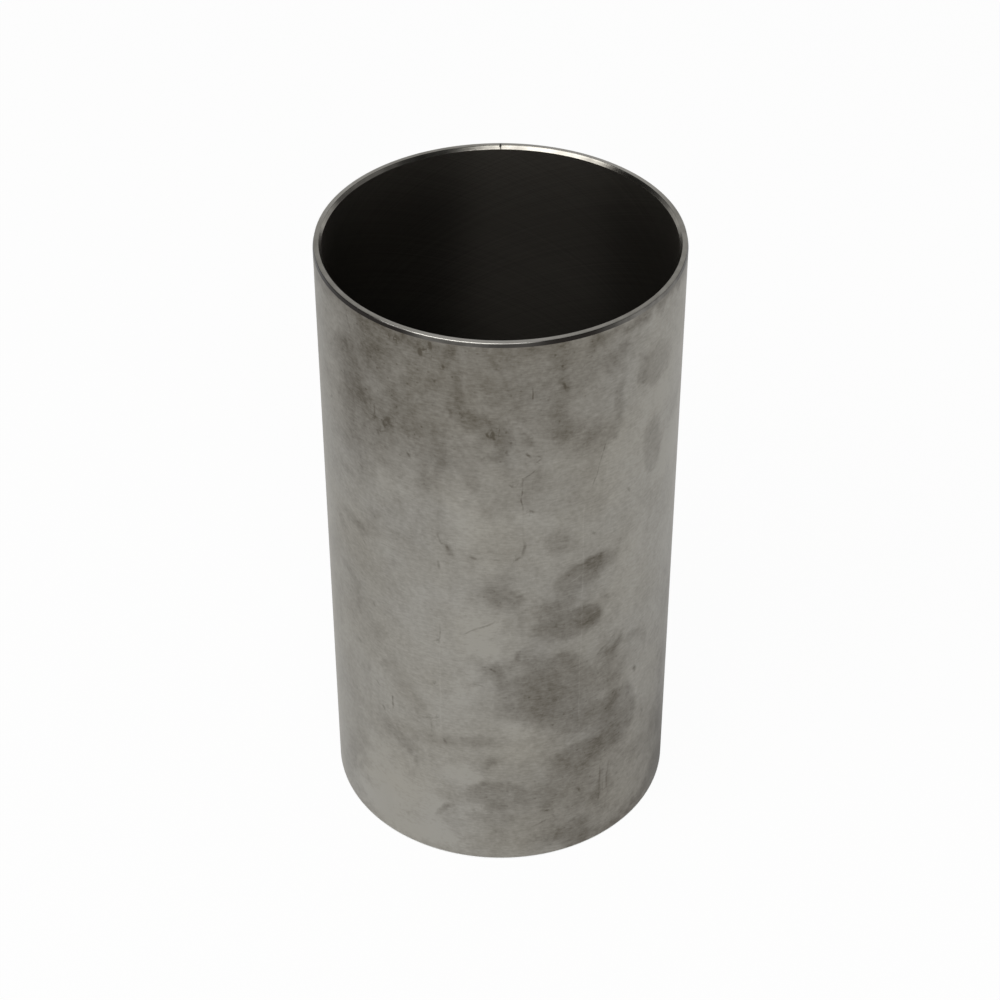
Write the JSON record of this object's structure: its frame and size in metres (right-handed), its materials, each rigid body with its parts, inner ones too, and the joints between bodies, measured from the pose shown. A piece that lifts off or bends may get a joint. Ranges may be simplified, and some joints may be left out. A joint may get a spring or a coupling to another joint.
{
  "type": "cylinder liner",
  "caption": "Thin-walled flangeless dry cylinder liner of grey cast iron, open at both ends, with a honed bore and a ground outside for a press fit in an engine block.",
  "frame": {"origin": "centre of the bottom end face", "axes": "+Z along the bore axis, from the bottom face to the top face, the end with the long outer lead-in; +Y towards the small nick in the top face"},
  "size_m": [0.108, 0.108, 0.2],
  "materials": {
    "ground_iron": "ground outside with handling stains, honed bore, fine-turned ends"
  },
  "bodies": {
    "root": {"cylinder_liner": "ground_iron"}
  },
  "joints": []
}
